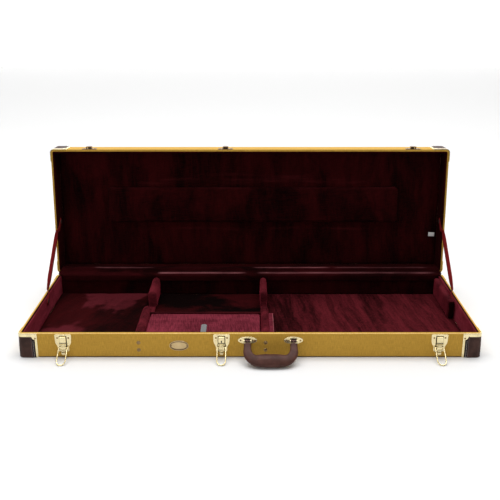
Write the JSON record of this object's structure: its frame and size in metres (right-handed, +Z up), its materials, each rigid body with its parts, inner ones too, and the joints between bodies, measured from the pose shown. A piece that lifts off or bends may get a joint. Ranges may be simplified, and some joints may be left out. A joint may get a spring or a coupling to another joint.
{
  "type": "guitar case",
  "caption": "Rectangular hard case for an electric guitar with a hinged lid, plush compartments, wire-bail latches and a carrying handle.",
  "frame": {"origin": "centre of the tray's flat underside", "axes": "+Z up, +X to the right along the case's length, +Y to the hinges at the back"},
  "size_m": [1.0436, 0.4746, 0.4051],
  "materials": {
    "tweed": "woven, lacquered",
    "plywood": "raw",
    "plush": "crushed pile",
    "corner_leather": "grained, satin",
    "brass": "polished plate",
    "steel": "plain",
    "strap_webbing": "woven ribbon",
    "tab_ribbon": "woven ribbon",
    "tag_cloth": "plain cloth",
    "handle_leather": "smooth, semi-gloss"
  },
  "bodies": {
    "tray": {"tray_cover": "tweed", "tray_bottom_board": "plywood", "tray_front_board": "plywood", "tray_back_board": "plywood", "tray_left_board": "plywood", "tray_right_board": "plywood", "tray_lining": "plush", "floor_pad": "plush", "head_pad": "plush", "end_block": "plush", "left_divider": "plush", "right_divider": "plush", "side_board": "plush", "box_back_board": "plush", "box_lid_rest": "plush", "tray_corner_leathers": "corner_leather", "tray_corner_bands": "brass", "divider_studs": "brass", "badge": "brass", "tray_rivets": "brass", "latch_base_left": "brass", "latch_base_middle": "brass", "latch_base_right": "brass", "lever_pins": "steel", "handle_plates": "brass", "handle_pins": "steel", "hinge_tray_leaves": "brass", "hinge_pins": "steel", "hinge_tray_rivets": "brass", "stay_straps": "strap_webbing", "strap_tray_studs": "brass", "hinge_flap": "plush"},
    "lid": {"lid_cover": "tweed", "lid_top_board": "plywood", "lid_front_board": "plywood", "lid_back_board": "plywood", "lid_left_board": "plywood", "lid_right_board": "plywood", "lid_lining": "plush", "lid_pad": "plush", "hinge_lid_leaves": "brass", "hinge_lid_rivets": "brass", "lid_corner_leathers": "corner_leather", "lid_corner_bands": "brass", "catches": "brass", "lid_rivets": "brass", "strap_lid_studs": "brass", "cloth_tag": "tag_cloth"},
    "box_lid": {"box_lid": "plush", "pull_tab": "tab_ribbon"},
    "lever_left": {"lever_left": "brass"},
    "lever_middle": {"lever_middle": "brass"},
    "lever_right": {"lever_right": "brass"},
    "bail_left": {"bail_left": "brass"},
    "bail_middle": {"bail_middle": "brass"},
    "bail_right": {"bail_right": "brass"},
    "lock": {"lock_cylinder": "brass"},
    "handle": {"handle_core": "steel", "handle_grip": "handle_leather"}
  },
  "joints": [
    {"name": "lid_hinge", "type": "hinge", "parent": "tray", "child": "lid", "pos_m": [0, 0.1711, 0.0603], "axis": [1, 0, 0], "range_deg": [0, 94.5], "deforming": ["stay_straps", "hinge_flap"]},
    {"name": "box_lid_hinge", "type": "hinge", "parent": "tray", "child": "box_lid", "pos_m": [0, -0.0531, 0.054], "axis": [1, 0, 0], "range_deg": [-100, 0]},
    {"name": "lever_left_pivot", "type": "hinge", "parent": "tray", "child": "lever_left", "pos_m": [-0.42, -0.1715, 0.033], "axis": [-1, 0, 0], "range_deg": [0, 95]},
    {"name": "bail_left_pivot", "type": "hinge", "parent": "lever_left", "child": "bail_left", "pos_m": [-0.42, -0.1719, 0.027], "axis": [1, 0, 0], "range_deg": [-126.6, 0]},
    {"name": "lever_middle_pivot", "type": "hinge", "parent": "tray", "child": "lever_middle", "pos_m": [-0.064, -0.1715, 0.033], "axis": [-1, 0, 0], "range_deg": [0, 95]},
    {"name": "bail_middle_pivot", "type": "hinge", "parent": "lever_middle", "child": "bail_middle", "pos_m": [-0.064, -0.1719, 0.027], "axis": [1, 0, 0], "range_deg": [-126.6, 0]},
    {"name": "lever_right_pivot", "type": "hinge", "parent": "tray", "child": "lever_right", "pos_m": [0.426, -0.1715, 0.033], "axis": [-1, 0, 0], "range_deg": [0, 95]},
    {"name": "bail_right_pivot", "type": "hinge", "parent": "lever_right", "child": "bail_right", "pos_m": [0.426, -0.1719, 0.027], "axis": [1, 0, 0], "range_deg": [-126.6, 0]},
    {"name": "lock_turn", "type": "hinge", "parent": "tray", "child": "lock", "pos_m": [-0.064, -0.1715, 0.0425], "axis": [0, 1, 0], "range_deg": [0, 90]},
    {"name": "handle_pivot", "type": "hinge", "parent": "tray", "child": "handle", "pos_m": [0.046, -0.172, 0.043], "axis": [-1, 0, 0], "range_deg": [0, 115]}
  ]
}
